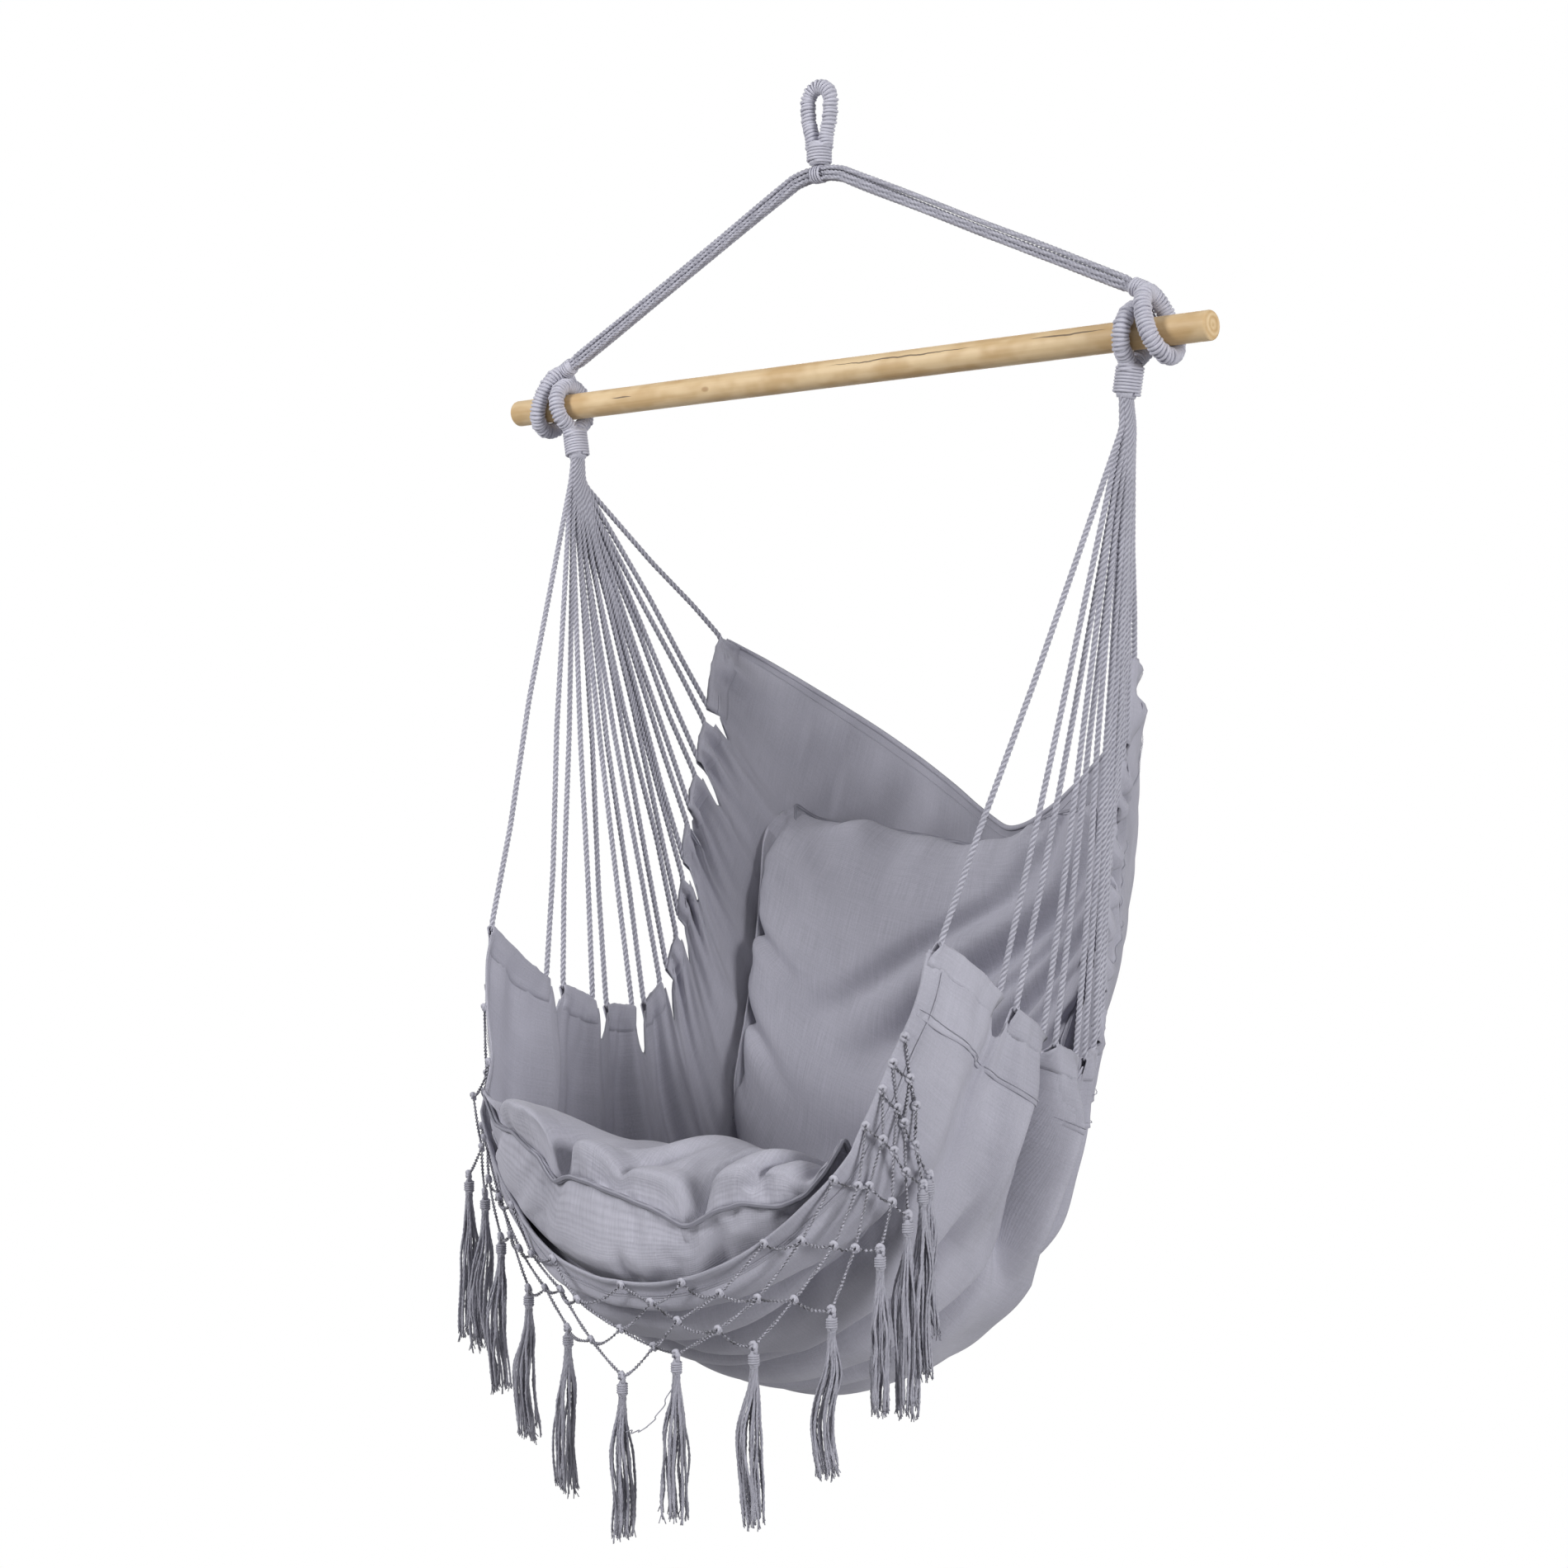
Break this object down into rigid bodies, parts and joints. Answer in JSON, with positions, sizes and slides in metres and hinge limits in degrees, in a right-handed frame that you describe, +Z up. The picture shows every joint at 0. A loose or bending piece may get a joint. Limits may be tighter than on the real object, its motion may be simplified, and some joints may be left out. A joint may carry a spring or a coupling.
{
  "type": "hammock chair",
  "caption": "Hanging cloth hammock chair with a wooden spreader bar, rope eyes, harness cords, two loose cushions and a knotted, tasselled front fringe.",
  "frame": {"origin": "the inside top of the hanging loop, where a hook bears", "axes": "+Z up, +X along the spreader bar to the sitter's left, and the sitter looks along -Y"},
  "size_m": [0.99, 0.7067, 1.5601],
  "materials": {
    "rope": "matte",
    "canvas": "matte",
    "cushion_cover": "matte",
    "fringe": "matte",
    "wood": "satin"
  },
  "bodies": {
    "loop": {"hanging_loop": "rope", "loop_serving": "rope", "loop_whipping": "rope"},
    "crotch": {"rope_crotch": "rope"},
    "suspension": {"suspension_rope_left": "rope", "suspension_rope_right": "rope", "suspension_eye_left": "rope", "suspension_eye_right": "rope"},
    "bar": {"spreader_bar": "wood"},
    "sling": {"harness_eye_left": "rope", "harness_eye_right": "rope", "harness_whipping_left": "rope", "harness_whipping_right": "rope", "harness_cords_left": "rope", "harness_cords_right": "rope", "sling_canvas": "canvas", "side_casing_left": "canvas", "side_casing_right": "canvas", "front_hem": "canvas", "top_hem": "canvas", "fringe_net": "fringe", "tassel_01": "fringe", "tassel_02": "fringe", "tassel_03": "fringe", "tassel_04": "fringe", "tassel_05": "fringe", "tassel_06": "fringe", "tassel_07": "fringe", "tassel_08": "fringe", "tassel_09": "fringe", "tassel_10": "fringe", "tassel_11": "fringe", "tassel_12": "fringe", "tassel_13": "fringe"},
    "seat_pad": {"seat_cushion": "cushion_cover"},
    "back_pad": {"back_cushion": "cushion_cover"}
  },
  "joints": [
    {"name": "loop_twist", "type": "hinge", "parent": "loop", "child": "crotch", "pos_m": [0, 0, -0.0887], "axis": [0, 0, 1], "range_deg": [-90, 90]},
    {"name": "chair_swing", "type": "hinge", "parent": "crotch", "child": "suspension", "pos_m": [0, 0, -0.0887], "axis": [1, 0, 0], "range_deg": [-25, 25]},
    {"name": "bar_roll", "type": "hinge", "parent": "suspension", "child": "bar", "pos_m": [0.014, 0, -0.313], "axis": [1, 0, 0], "continuous": true},
    {"name": "sling_swing", "type": "hinge", "parent": "suspension", "child": "sling", "pos_m": [0.014, 0, -0.313], "axis": [1, 0, 0], "range_deg": [-20, 20]},
    {"name": "seat_pad_lift", "type": "slide", "parent": "sling", "child": "seat_pad", "axis": [0, -0.6, 0.8], "range_m": [0, 0.25]},
    {"name": "back_pad_lift", "type": "slide", "parent": "sling", "child": "back_pad", "axis": [0, 0, 1], "range_m": [0, 0.25]}
  ]
}
